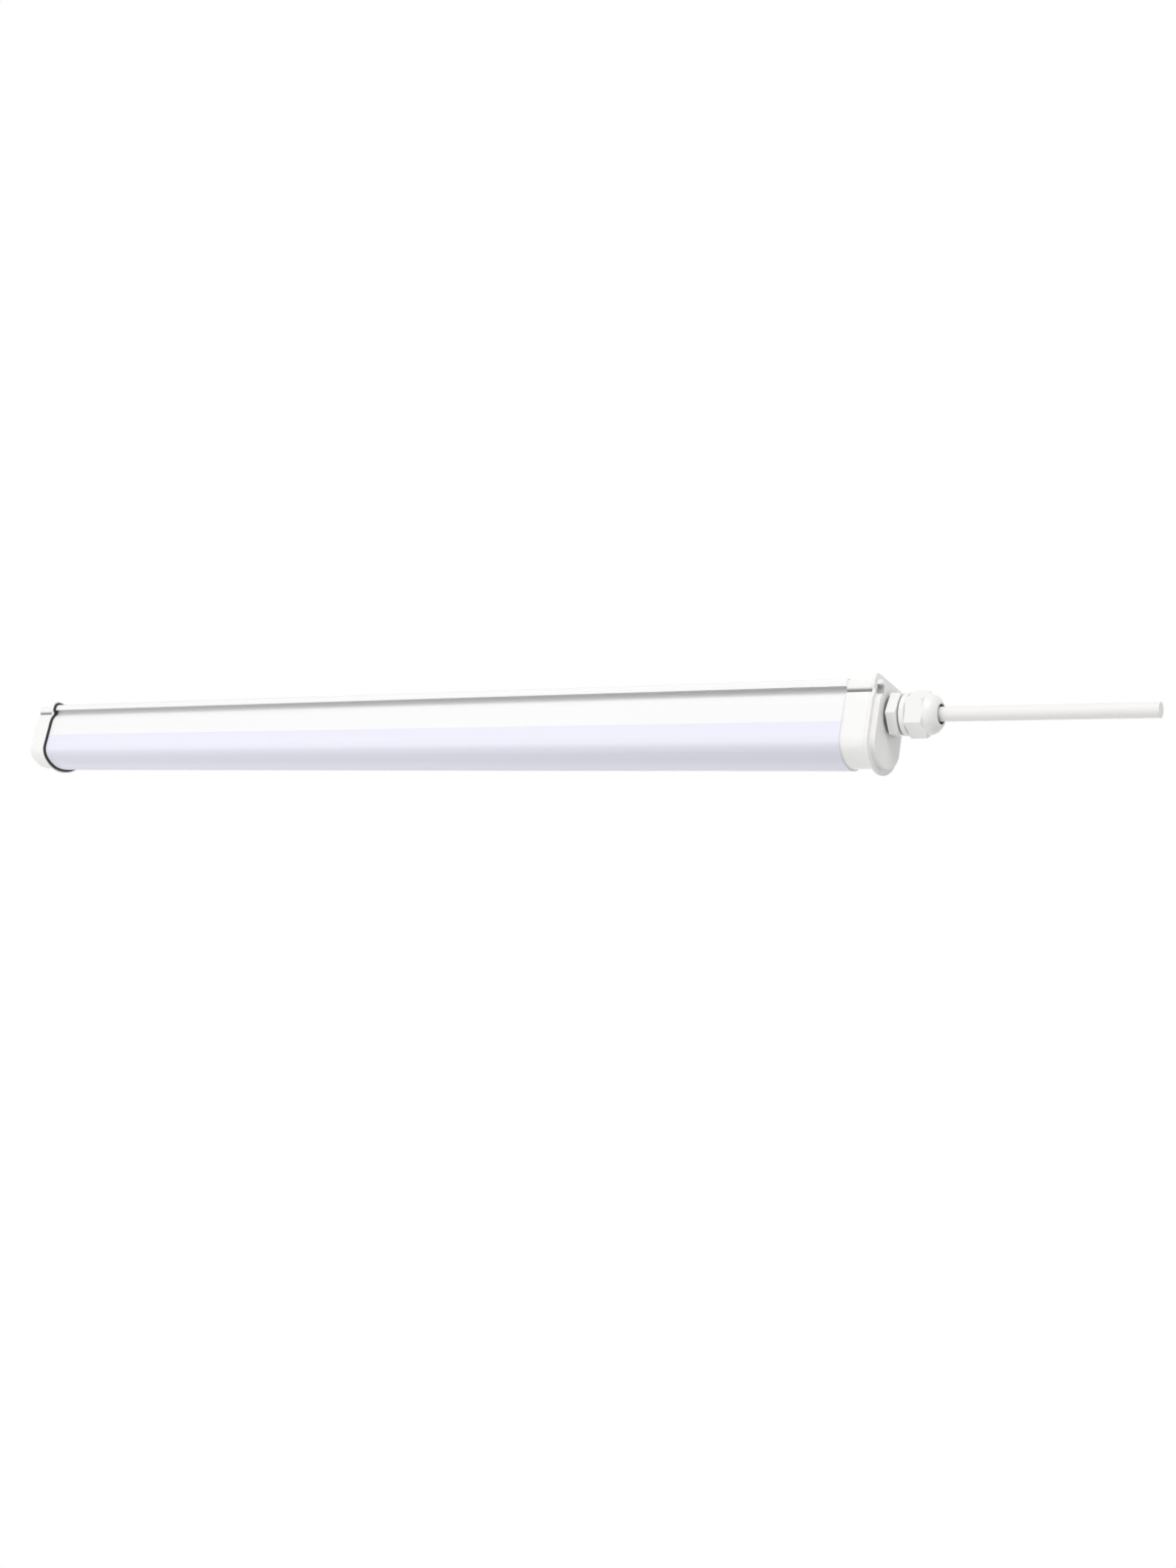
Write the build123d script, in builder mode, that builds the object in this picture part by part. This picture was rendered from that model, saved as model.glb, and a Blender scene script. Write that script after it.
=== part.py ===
"""A slim vapor tight linear light: a T-railed housing, a frosted diffuser, two flanged end caps and a cable gland.

X runs along the light, with the cable at the +X end, and Z points up. The origin is the middle of the rail's top.
The section is as wide as the gland's locknut needs, and the housing is as deep as the driver needs.
"""

import os

from build123d import *

# Overall length, from the blind cap's end to the face of the cable cap's boss
body_length = 600.0

# Cross-section shared by the housing and the diffuser
wall = 1.6
rail_height = 4.3
rail_inset = 0.2
rail_round = 2.4
groove_height = 2.5
groove_depth = 2.2
shoulder_height = 6.0
diffuser_depth = 18.5
bottom_sag = 8.5
bottom_corner = 9.2

# Joint between the housing and the diffuser
tongue_height = 1.5
tongue_thickness = 0.75
snug_gap = 0.05

# End caps
flange_rim = 2.1
flange_thickness = 1.5
flange_round = 0.5
notch_round = 1.0
boss_round = 0.4
boss_height = 2.3
cap_step = 0.9
crease_depth = 1.1
crease_rise = 0.4
crease_gap = 0.3
cap_wall = 1.8
cap_side_room = 0.33
cap_top_room = 0.6
sleeve_length = 13.5
cup_length = 15.0
end_wall = 3.0
plug_length = 10.0
plug_gap = 0.1
gasket_thickness = 0.8
gasket_inset = 0.8
ring_width = 2.4
ring_depth = 1.0

# Light source
rib_depth = 1.6
rib_height = 1.2
rib_clearance = 0.3
rib_end_gap = 0.5
tray_thickness = 1.2
tray_side_gap = 0.3
tray_slot_gap = 0.1
tray_end_gap = 1.7
board_width = 16.0
board_thickness = 1.0
board_end_gap = 10.5
board_screw_count = 5
board_screw_inset = 40.0
board_screw_edge = 0.3
led_pitch = 10.0
led_length = 3.5
led_width = 2.8
led_height = 0.7

# Screws that hold the board, the driver and the earth tag
screw_radius = 1.45
screw_head_radius = 2.5
screw_head_height = 1.6
screw_head_round = 0.8
screw_hole_gap = 0.05

# Driver, on top of the tray
driver_length = 160.0
driver_wall = 1.0
driver_tab = 10.0
driver_side_gap = 0.8
driver_headroom = 2.4
driver_board_thickness = 1.6
driver_board_gap = 0.3
post_height = 1.4
post_radius = 2.0
post_inset = 3.5
component_height = 8.0
component_spacing = 40.0
transformer_size = 14.0
transformer_round = 1.75
transformer_gap = 1.3
capacitor_length = 16.0
capacitor_spacing = 2.0
capacitor_gap = 0.9
choke_radius = 5.5
choke_core_radius = 4.4
choke_flange = 1.5
choke_gap = 2.0

# Terminal block
pole_count = 3
terminal_length = 24.0
terminal_height = 9.5
terminal_end_gap = 3.0
terminal_hole_depth = 5.0
terminal_screw_radius = 1.4
terminal_screw_inset = 3.0
terminal_screw_sink = 0.3
peg_spacing = 12.0

# Wires
wire_radius = 0.9
wire_gap = 0.15
wire_height = 5.5
wire_bend = 3.0
core_gap = 0.18
core_run = 5.0
core_angles = (210, 90, 330)
lead_spacing = 4.0
lead_insert = 4.0
lead_slot_length = 7.0
lead_slot_gap = 0.6
lead_slot_spacing = 12.0

# Earth tag
tag_spacing = 24.0
tag_gap = 8.4
tag_radius = 3.6
tag_thickness = 0.8
barrel_length = 5.0
barrel_radius = 1.5
barrel_gap = 0.1

# Cable gland
cable_radius = 3.4
cable_reach = 120.0
cable_tail = 2.0
cable_hole_gap = 1.0
running_gap = 0.3
stem_wall = 3.6
stem_gap = 0.1
stem_hole_gap = 0.2
stem_spare = 1.0
locknut_wall = 1.5
locknut_thickness = 5.0
washer_width = 1.0
washer_thickness = 1.7
hex_flats = 19.0
hex_length = 5.0
hex_turn = 12.4
hex_round = 0.4
hex_chamfer = 0.6
neck_groove_length = 0.7
neck_groove_depth = 1.4
collar_step = 2.4
collar_length = 2.6
collar_round = 0.4
thread_wall = 1.2
thread_length = 5.1
gland_bore_depth = 9.6
seal_thickness = 1.6
seal_lip_gap = 0.1
seal_lip_recess = 0.5
claw_thickness = 0.8
claw_floor_gap = 2.0
claw_lip_inset = 0.2
claw_lip_length = 1.0
claw_finger_length = 4.1
claw_tip_thickness = 0.7
claw_slot = 1.0
claw_slot_count = 8
nut_wall = 1.6
nut_turn = 38.0
nut_gap = 0.3
nut_hex_length = 8.5
nut_chamfer = 0.8
nut_end_wall = 3.3
nut_tip_wall = 1.1
nut_bulge = 1.1
nut_mouth_gap = 1.0
nut_mouth_chamfer = 0.3

# Radii of the gland, from the cable outwards
cable_hole = cable_radius + cable_hole_gap
stem_radius = cable_hole + stem_wall
washer_radius = stem_radius + washer_width
locknut_flats = 2 * (stem_radius + locknut_wall)
seal_radius = cable_radius + seal_thickness
claw_bore = seal_radius + running_gap
claw_radius = claw_bore + claw_thickness
claw_tip_radius = claw_bore + claw_tip_thickness
gland_bore = claw_radius + running_gap
thread_radius = gland_bore + thread_wall
claw_lip_radius = thread_radius - claw_lip_inset
collar_radius = thread_radius + collar_step
neck_groove_radius = collar_radius - neck_groove_depth
nut_bore = thread_radius + running_gap
nut_flats = 2 * (nut_bore + nut_wall)
nut_corner = nut_flats / 3**0.5
hex_corner = hex_flats / 3**0.5
nut_mouth = cable_radius + nut_mouth_gap
nut_tip_radius = nut_mouth + nut_tip_wall
seal_lip_radius = nut_mouth - seal_lip_gap

# Stations along the gland's axis, from the boss face
stem_length = end_wall + locknut_thickness + stem_spare
cable_tail_length = stem_length + cable_tail
hex_end = washer_thickness + hex_length
collar_start = hex_end + neck_groove_length
collar_end = collar_start + collar_length
thread_end = collar_end + thread_length
bore_floor = thread_end - gland_bore_depth
claw_start = bore_floor + claw_floor_gap
lip_start = thread_end + running_gap
lip_end = lip_start + claw_lip_length
claw_end = lip_end + claw_finger_length
nut_start = collar_end + nut_gap
nut_hex_end = nut_start + nut_hex_length
nut_end = claw_end + running_gap + nut_end_wall
seal_end = nut_end - seal_lip_recess

# Widths of the section
cap_inset = wall + plug_gap + cap_wall
profile_half = locknut_flats / 3**0.5 + cap_side_room + cap_inset
rail_half = profile_half - rail_inset
neck_half = rail_half - groove_depth
cap_half = profile_half - cap_step
cap_neck_half = neck_half - cap_step
cap_rail_half = rail_half - cap_step
crease_half = cap_half - crease_depth
inner_half = profile_half - wall
driver_width = 2 * (neck_half - wall - driver_side_gap)

# Heights
gland_depth = cap_inset + cap_top_room + locknut_flats / 2
groove_floor = -(rail_height + groove_height)
shoulder_end = groove_floor - shoulder_height
crease_top = groove_floor + crease_rise
driver_height = 2 * driver_wall + post_height + driver_board_thickness + component_height
driver_roof = -(wall + driver_headroom)
tray_top = driver_roof - driver_height
tray_bottom = tray_top - tray_thickness
board_bottom = tray_bottom - board_thickness
driver_floor = tray_top + driver_wall
driver_board_bottom = driver_floor + post_height
driver_board_top = driver_board_bottom + driver_board_thickness
wire_z = tray_top + wire_height
split_z = tray_bottom - rib_height - rib_clearance - tongue_height
bottom_z = split_z - diffuser_depth

# Stations along X
boss_face = body_length / 2
flange_front = boss_face - boss_height
flange_back = flange_front - flange_thickness
section_right = flange_back - sleeve_length
blind_end = -body_length / 2
blind_flange = blind_end + cup_length
blind_gasket = blind_flange + flange_thickness
section_left = blind_gasket + gasket_thickness
section_length = section_right - section_left
tray_left = section_left + plug_length + tray_end_gap
tray_right = section_right - plug_length - tray_end_gap
tray_length = tray_right - tray_left
tray_middle = (tray_left + tray_right) / 2
board_length = tray_length - 2 * board_end_gap
terminal_right = tray_right - terminal_end_gap
terminal_left = terminal_right - terminal_length
terminal_middle = (terminal_left + terminal_right) / 2
tag_x = terminal_left - tag_spacing
driver_right = tag_x - tag_radius - tag_gap - driver_tab
driver_left = driver_right - driver_length
driver_middle = (driver_left + driver_right) / 2
lead_x = driver_left - driver_tab - lead_slot_spacing
tail_x = boss_face - cable_tail_length

os.makedirs("parts", exist_ok=True)


def save(piece, name):
    """Labels a finished piece and writes it as one file."""
    piece.part.label = name
    export_step(piece.part, f"parts/{name}.step")


# Cross-sections: the body without the rail, the whole profile, and what is offset from them
with BuildSketch() as core:
    with BuildLine():
        Polyline((0, 0), (neck_half, 0), (neck_half, groove_floor))
        TangentArc((profile_half, shoulder_end), (neck_half, groove_floor), tangent=(0, 1))
        Line((profile_half, shoulder_end), (profile_half, bottom_z + bottom_sag))
        mirror(about=Plane.YZ)
        ThreePointArc((-profile_half, bottom_z + bottom_sag), (0, bottom_z), (profile_half, bottom_z + bottom_sag))
    make_face()
    fillet(core.vertices().group_by(Axis.Y)[0], bottom_corner)

with BuildSketch() as profile:
    add(core.sketch)
    with Locations((0, -rail_height / 2)):
        Rectangle(2 * rail_half, rail_height)
    fillet(profile.vertices().group_by(Axis.Y)[-1], rail_round)

with BuildSketch() as bore:
    add(core.sketch)
    offset(amount=-wall)

with BuildSketch() as flange_outline:
    add(profile.sketch)
    offset(amount=flange_rim + notch_round)
    offset(amount=-notch_round)

with BuildSketch() as cap_outline:
    add(profile.sketch)
    offset(amount=-cap_step)

# The caps' bodies fill most of the groove, down to a crease
with BuildSketch() as body_outline:
    add(cap_outline.sketch)
    with BuildLine():
        TangentArc((cap_rail_half, cap_step - rail_height), (crease_half, crease_top), tangent=(0, -1))
        Line((crease_half, crease_top), (crease_half, crease_top - crease_gap))
        TangentArc((cap_half, shoulder_end), (crease_half, crease_top - crease_gap), tangent=(0, 1))
        Polyline(
            (cap_half, shoulder_end),
            (cap_neck_half, shoulder_end),
            (cap_neck_half, cap_step - rail_height),
            (cap_rail_half, cap_step - rail_height),
        )
    make_face()
    mirror(about=Plane.YZ)

with BuildSketch() as plug_outline:
    add(bore.sketch)
    offset(amount=-plug_gap)

with BuildSketch() as cap_hollow:
    add(bore.sketch)
    offset(amount=-plug_gap - cap_wall)

with BuildSketch() as ring_outline:
    add(bore.sketch)
    offset(amount=-snug_gap)

with BuildSketch() as ring_floor:
    add(bore.sketch)
    offset(amount=-plug_gap - ring_depth)

# Housing: the upper part of the profile, with a pair of ribs each side for the tray and a rebate for the diffuser
with BuildPart() as housing:
    with BuildSketch(Plane.YZ.offset(section_left)):
        add(profile.sketch)
        add(bore.sketch, mode=Mode.SUBTRACT)
        with Locations((0, split_z)):
            Rectangle(4 * profile_half, 2 * diffuser_depth, align=(Align.CENTER, Align.MAX), mode=Mode.SUBTRACT)
            Rectangle(
                2 * (inner_half + tongue_thickness + snug_gap),
                tongue_height + snug_gap,
                align=(Align.CENTER, Align.MIN),
                mode=Mode.SUBTRACT,
            )
    extrude(amount=section_length)
    with BuildSketch(Plane.YZ.offset(section_left + plug_length + rib_end_gap)):
        for side in (-1, 1):
            with Locations((side * (inner_half - rib_depth / 2), tray_bottom)):
                Rectangle(rib_depth, rib_height, align=(Align.CENTER, Align.MAX))
            with Locations((side * (inner_half - rib_depth / 2), tray_top + tray_slot_gap)):
                Rectangle(rib_depth, rib_height, align=(Align.CENTER, Align.MIN))
    extrude(amount=section_length - 2 * (plug_length + rib_end_gap))
save(housing, "housing")

# Diffuser: the lower part of the profile, with a tongue along each upper edge
with BuildPart() as diffuser:
    with BuildSketch(Plane.YZ.offset(section_left)):
        add(core.sketch)
        add(bore.sketch, mode=Mode.SUBTRACT)
        with Locations((0, split_z)):
            Rectangle(4 * profile_half, -2 * split_z, align=(Align.CENTER, Align.MIN), mode=Mode.SUBTRACT)
        for side in (-1, 1):
            with Locations((side * (inner_half + tongue_thickness / 2), split_z)):
                Rectangle(tongue_thickness, tongue_height, align=(Align.CENTER, Align.MIN))
    extrude(amount=section_length)
save(diffuser, "diffuser")

# Cable end cap: plug, sleeve, rim flange and raised boss round one hollow, drilled for the gland
gland_face = Plane(origin=(boss_face, 0, -gland_depth), x_dir=(0, 1, 0), z_dir=(1, 0, 0))
ring_start = section_right - plug_length / 2 - ring_width / 2

with BuildPart() as cable_end_cap:
    with BuildSketch(Plane.YZ.offset(flange_back)):
        add(flange_outline.sketch)
    extrude(amount=flange_thickness)
    fillet(cable_end_cap.edges().filter_by(Plane.YZ), flange_round)
    with BuildSketch(Plane.YZ.offset(flange_back)):
        add(cap_outline.sketch)
    extrude(amount=boss_face - flange_back)
    fillet(cable_end_cap.faces().sort_by(Axis.X)[-1].edges(), boss_round)
    with BuildSketch(Plane.YZ.offset(section_right)):
        add(body_outline.sketch)
    extrude(amount=sleeve_length)
    with BuildSketch(Plane.YZ.offset(section_right - plug_length)):
        add(plug_outline.sketch)
    extrude(amount=plug_length)
    with BuildSketch(Plane.YZ.offset(ring_start)):
        add(plug_outline.sketch)
        add(ring_floor.sketch, mode=Mode.SUBTRACT)
    extrude(amount=ring_width, mode=Mode.SUBTRACT)
    with BuildSketch(Plane.YZ.offset(section_right - plug_length)):
        add(cap_hollow.sketch)
    extrude(amount=boss_face - end_wall - section_right + plug_length, mode=Mode.SUBTRACT)
    with BuildSketch(gland_face):
        Circle(stem_radius + stem_hole_gap)
    extrude(amount=-end_wall, mode=Mode.SUBTRACT)
save(cable_end_cap, "cable_end_cap")

with BuildPart() as cable_end_seal:
    with BuildSketch(Plane.YZ.offset(ring_start + snug_gap)):
        add(ring_outline.sketch)
        add(ring_floor.sketch, mode=Mode.SUBTRACT)
    extrude(amount=ring_width - 2 * snug_gap)
save(cable_end_seal, "cable_end_seal")

# Blind end cap: plug and rim flange, with a closed cup outside the flange
with BuildPart() as blind_end_cap:
    with BuildSketch(Plane.YZ.offset(blind_flange)):
        add(flange_outline.sketch)
    extrude(amount=flange_thickness)
    fillet(blind_end_cap.edges().filter_by(Plane.YZ), flange_round)
    with BuildSketch(Plane.YZ.offset(blind_end)):
        add(body_outline.sketch)
    extrude(amount=cup_length)
    fillet(blind_end_cap.faces().sort_by(Axis.X)[0].edges(), boss_round)
    with BuildSketch(Plane.YZ.offset(blind_gasket)):
        add(plug_outline.sketch)
    extrude(amount=gasket_thickness + plug_length)
    with BuildSketch(Plane.YZ.offset(blind_end + end_wall)):
        add(cap_hollow.sketch)
    extrude(amount=section_left + plug_length - blind_end - end_wall, mode=Mode.SUBTRACT)
save(blind_end_cap, "blind_end_cap")

with BuildPart() as blind_end_gasket:
    with BuildSketch(Plane.YZ.offset(blind_gasket)):
        add(flange_outline.sketch)
        offset(amount=-gasket_inset)
        add(ring_outline.sketch, mode=Mode.SUBTRACT)
    extrude(amount=gasket_thickness)
save(blind_end_gasket, "blind_end_gasket")

# Light source: tray, board, light emitting packages and the screws that join tray and board
screw_hole = screw_radius + screw_hole_gap
board_screw_y = screw_head_radius + board_screw_edge - board_width / 2
board_screw_pitch = (board_length - 2 * board_screw_inset) / (board_screw_count - 1)
led_count = round(board_length / led_pitch)
driver_screw_x = (driver_left - driver_tab / 2, driver_right + driver_tab / 2)
peg_x = (terminal_middle - peg_spacing / 2, terminal_middle + peg_spacing / 2)
terminal_pitch = driver_width / pole_count
poles = (-terminal_pitch, 0, terminal_pitch)
tag_y = poles[-1]

with BuildPart() as led_tray:
    with BuildSketch(Plane.XY.offset(tray_bottom)):
        with Locations((tray_middle, 0)):
            Rectangle(tray_length, 2 * (inner_half - tray_side_gap))
        with Locations((tray_middle, board_screw_y)):
            with GridLocations(board_screw_pitch, 0, board_screw_count, 1):
                Circle(screw_hole, mode=Mode.SUBTRACT)
        with Locations(*[(x, 0) for x in driver_screw_x + peg_x], (tag_x, tag_y)):
            Circle(screw_hole, mode=Mode.SUBTRACT)
        with Locations((lead_x, 0)):
            Rectangle(lead_slot_length, lead_spacing + 2 * (wire_radius + lead_slot_gap), mode=Mode.SUBTRACT)
    extrude(amount=tray_thickness)
save(led_tray, "led_tray")

with BuildPart() as led_board:
    with BuildSketch(Plane.XY.offset(board_bottom)):
        with Locations((tray_middle, 0)):
            Rectangle(board_length, board_width)
        with Locations((tray_middle, board_screw_y)):
            with GridLocations(board_screw_pitch, 0, board_screw_count, 1):
                Circle(screw_hole, mode=Mode.SUBTRACT)
    extrude(amount=board_thickness)
save(led_board, "led_board")

with BuildPart() as led_chips:
    with BuildSketch(Plane.XY.offset(board_bottom)):
        with Locations((tray_middle, 0)):
            with GridLocations(led_pitch, 0, led_count, 1):
                Rectangle(led_length, led_width)
    extrude(amount=-led_height)
save(led_chips, "led_chips")

with BuildPart() as board_screws:
    with BuildSketch(Plane.XY.offset(board_bottom)):
        with Locations((tray_middle, board_screw_y)):
            with GridLocations(board_screw_pitch, 0, board_screw_count, 1):
                Circle(screw_head_radius)
    extrude(amount=-screw_head_height)
    fillet(board_screws.edges().group_by(Axis.Z)[0], screw_head_round)
    with BuildSketch(Plane.XY.offset(board_bottom)):
        with Locations((tray_middle, board_screw_y)):
            with GridLocations(board_screw_pitch, 0, board_screw_count, 1):
                Circle(screw_radius)
    extrude(amount=board_thickness + tray_thickness)
save(board_screws, "board_screws")

# Driver: a tabbed case and a lid round a board on posts
driver_inner_length = driver_length - 2 * driver_wall
driver_inner_width = driver_width - 2 * driver_wall
lead_y = (-lead_spacing / 2, lead_spacing / 2)

with BuildPart() as driver_case:
    with BuildSketch(Plane.XY.offset(tray_top)):
        with Locations((driver_middle, 0)):
            Rectangle(driver_length, driver_width)
    extrude(amount=driver_height - driver_wall)
    with BuildSketch(Plane.XY.offset(driver_floor)):
        with Locations((driver_middle, 0)):
            Rectangle(driver_inner_length, driver_inner_width)
    extrude(amount=driver_height, mode=Mode.SUBTRACT)
    with BuildSketch(Plane.XY.offset(tray_top)):
        with Locations((driver_left, 0)):
            Rectangle(driver_tab, driver_inner_width, align=(Align.MAX, Align.CENTER))
        with Locations((driver_right, 0)):
            Rectangle(driver_tab, driver_inner_width, align=(Align.MIN, Align.CENTER))
        with Locations(*[(x, 0) for x in driver_screw_x]):
            Circle(screw_hole, mode=Mode.SUBTRACT)
    extrude(amount=driver_wall)
    with BuildSketch(Plane.XY.offset(driver_floor)):
        with Locations((driver_middle, 0)):
            with GridLocations(driver_inner_length - 2 * post_inset, driver_inner_width - 2 * post_inset, 2, 2):
                Circle(post_radius)
    extrude(amount=post_height)
    with BuildSketch(Plane.YZ.offset(driver_right)):
        with Locations(*[(y, wire_z) for y in poles[:-1]]):
            Circle(wire_radius + wire_gap)
    extrude(amount=-driver_wall, mode=Mode.SUBTRACT)
    with BuildSketch(Plane.YZ.offset(driver_left)):
        with Locations(*[(y, wire_z) for y in lead_y]):
            Circle(wire_radius + wire_gap)
    extrude(amount=driver_wall, mode=Mode.SUBTRACT)
save(driver_case, "driver_case")

with BuildPart() as driver_lid:
    with BuildSketch(Plane.XY.offset(driver_roof)):
        with Locations((driver_middle, 0)):
            Rectangle(driver_length, driver_width)
    extrude(amount=-driver_wall)
    with BuildSketch(Plane.XY.offset(driver_roof - driver_wall)):
        with Locations((driver_middle, 0)):
            Rectangle(driver_inner_length - 2 * snug_gap, driver_inner_width - 2 * snug_gap)
            Rectangle(
                driver_inner_length - 2 * driver_wall, driver_inner_width - 2 * driver_wall, mode=Mode.SUBTRACT
            )
    extrude(amount=-driver_wall)
save(driver_lid, "driver_lid")

with BuildPart() as driver_board:
    with BuildSketch(Plane.XY.offset(driver_board_bottom)):
        with Locations((driver_middle, 0)):
            Rectangle(driver_inner_length - 2 * driver_board_gap, driver_inner_width - 2 * driver_board_gap)
    extrude(amount=driver_board_thickness)
save(driver_board, "driver_board")

with BuildPart() as driver_transformer:
    with BuildSketch(Plane.XY.offset(driver_board_top)):
        with Locations((driver_middle, 0)):
            RectangleRounded(transformer_size, transformer_size, transformer_round)
    extrude(amount=component_height - transformer_gap)
save(driver_transformer, "driver_transformer")

capacitor_radius = (component_height - capacitor_gap) / 2
with BuildPart() as driver_capacitors:
    for start in (capacitor_spacing / 2, -capacitor_spacing / 2 - capacitor_length):
        with BuildSketch(Plane.YZ.offset(driver_middle - component_spacing + start)):
            with Locations((0, driver_board_top + capacitor_radius + snug_gap)):
                Circle(capacitor_radius)
        extrude(amount=capacitor_length)
save(driver_capacitors, "driver_capacitors")

choke_height = component_height - choke_gap
with BuildPart() as driver_choke:
    with BuildSketch(Plane.XY.offset(driver_board_top)):
        with Locations((driver_middle + component_spacing, 0)):
            Circle(choke_radius)
    extrude(amount=choke_height)
    with BuildSketch(Plane.XY.offset(driver_board_top + choke_flange)):
        with Locations((driver_middle + component_spacing, 0)):
            Circle(choke_radius)
            Circle(choke_core_radius, mode=Mode.SUBTRACT)
    extrude(amount=choke_height - 2 * choke_flange, mode=Mode.SUBTRACT)
save(driver_choke, "driver_choke")

with BuildPart() as driver_screws:
    with BuildSketch(Plane.XY.offset(driver_floor)):
        with Locations(*[(x, 0) for x in driver_screw_x]):
            Circle(screw_head_radius)
    extrude(amount=screw_head_height)
    fillet(driver_screws.edges().group_by(Axis.Z)[-1], screw_head_round)
    with BuildSketch(Plane.XY.offset(driver_floor)):
        with Locations(*[(x, 0) for x in driver_screw_x]):
            Circle(screw_radius)
    extrude(amount=-driver_wall - tray_thickness)
save(driver_screws, "driver_screws")

# Terminal block: each pole has a wire hole and a clamping screw at both ends
clamp_z = wire_z + wire_radius + wire_gap
clamp_x = (terminal_left + terminal_screw_inset, terminal_right - terminal_screw_inset)
clamp_points = [(x, y) for x in clamp_x for y in poles]

with BuildPart() as terminal_block:
    with BuildSketch(Plane.XY.offset(tray_top)):
        with Locations((terminal_middle, 0)):
            Rectangle(terminal_length, driver_width)
    extrude(amount=terminal_height)
    for face, depth in ((terminal_left, terminal_hole_depth), (terminal_right, -terminal_hole_depth)):
        with BuildSketch(Plane.YZ.offset(face)):
            with Locations(*[(y, wire_z) for y in poles]):
                Circle(wire_radius + wire_gap)
        extrude(amount=depth, mode=Mode.SUBTRACT)
    with BuildSketch(Plane.XY.offset(clamp_z)):
        with Locations(*clamp_points):
            Circle(terminal_screw_radius + snug_gap)
    extrude(amount=terminal_height, mode=Mode.SUBTRACT)
    with BuildSketch(Plane.XY.offset(tray_top)):
        with Locations(*[(x, 0) for x in peg_x]):
            Circle(screw_radius)
    extrude(amount=-tray_thickness)
save(terminal_block, "terminal_block")

with BuildPart() as terminal_screws:
    with BuildSketch(Plane.XY.offset(clamp_z)):
        with Locations(*clamp_points):
            Circle(terminal_screw_radius)
    extrude(amount=tray_top + terminal_height - terminal_screw_sink - clamp_z)
save(terminal_screws, "terminal_screws")


def wire(name, *points):
    """Makes one insulated wire along straight runs joined by bends."""
    with BuildPart() as lead:
        with BuildLine() as route:
            if len(points) > 2:
                FilletPolyline(*points, radius=wire_bend)
            else:
                Line(*points)
        path = route.wire()
        with BuildSketch(Plane(origin=path @ 0, z_dir=path % 0)):
            Circle(wire_radius)
        sweep()
    save(lead, name)


# The cable's cores, from the end of its sheath to the terminal
core_circle = 2 * (wire_radius + core_gap) / 3**0.5
clamp_end = terminal_hole_depth - wire_radius
for name, y, angle in zip(("live_wire", "neutral_wire", "earth_wire"), poles, core_angles):
    core_at = Vector(tail_x, 0, -gland_depth) + Vector(0, core_circle, 0).rotate(Axis.X, angle)
    bend_at = core_at - Vector(core_run, 0, 0)
    entry = Vector(terminal_right - clamp_end, y, wire_z)
    wire(name, core_at, bend_at, entry + Vector(clamp_end + core_run, 0, 0), entry)

# Leads from the terminal to the driver, and from the driver to the board
for name, y in zip(("live_lead", "neutral_lead"), poles):
    wire(name, (terminal_left + clamp_end, y, wire_z), (driver_right - lead_insert, y, wire_z))
for name, y in zip(("positive_lead", "negative_lead"), lead_y):
    wire(name, (driver_left + lead_insert, y, wire_z), (lead_x, y, wire_z), (lead_x, y, tray_bottom))

# Earth tag, its screw and its lead
barrel_left = tag_x + tag_radius
barrel_right = barrel_left + barrel_length
barrel_z = tray_top + barrel_radius + barrel_gap

with BuildPart() as earth_tag:
    with BuildSketch(Plane.XY.offset(tray_top)):
        with Locations((tag_x, tag_y)):
            Circle(tag_radius)
            Rectangle(tag_radius + barrel_length / 2, 2 * barrel_radius, align=(Align.MIN, Align.CENTER))
            Circle(screw_hole, mode=Mode.SUBTRACT)
    extrude(amount=tag_thickness)
    with BuildSketch(Plane.YZ.offset(barrel_left)):
        with Locations((tag_y, barrel_z)):
            Circle(barrel_radius)
    extrude(amount=barrel_length)
    with BuildSketch(Plane.YZ.offset(barrel_left)):
        with Locations((tag_y, barrel_z)):
            Circle(wire_radius + snug_gap)
    extrude(amount=barrel_length, mode=Mode.SUBTRACT)
save(earth_tag, "earth_tag")

with BuildPart() as earth_screw:
    with BuildSketch(Plane.XY.offset(tray_top + tag_thickness)):
        with Locations((tag_x, tag_y)):
            Circle(screw_head_radius)
    extrude(amount=screw_head_height)
    fillet(earth_screw.edges().group_by(Axis.Z)[-1], screw_head_round)
    with BuildSketch(Plane.XY.offset(tray_top + tag_thickness)):
        with Locations((tag_x, tag_y)):
            Circle(screw_radius)
    extrude(amount=-tag_thickness - tray_thickness)
save(earth_screw, "earth_screw")

wire(
    "earth_lead",
    (terminal_left + clamp_end, tag_y, wire_z),
    (terminal_left - wire_bend, tag_y, wire_z),
    (barrel_right + wire_bend, tag_y, barrel_z),
    (barrel_left + barrel_length / 2, tag_y, barrel_z),
)

# Cable gland: sections are drawn with x along the axis, from the boss face, and y as the radius
gland_section = Plane(origin=(boss_face, 0, -gland_depth), x_dir=(1, 0, 0), z_dir=(0, -1, 0))
gland_axis = Axis((boss_face, 0, -gland_depth), (1, 0, 0))

with BuildPart() as gland_gasket:
    with BuildSketch(gland_face):
        Circle(washer_radius)
        Circle(stem_radius + stem_gap, mode=Mode.SUBTRACT)
    extrude(amount=washer_thickness)
save(gland_gasket, "gland_gasket")

with BuildPart() as gland_locknut:
    with BuildSketch(gland_face.offset(-end_wall)):
        RegularPolygon(locknut_flats / 2, 6, major_radius=False)
        Circle(stem_radius + snug_gap, mode=Mode.SUBTRACT)
    extrude(amount=-locknut_thickness)
save(gland_locknut, "gland_locknut")

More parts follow.
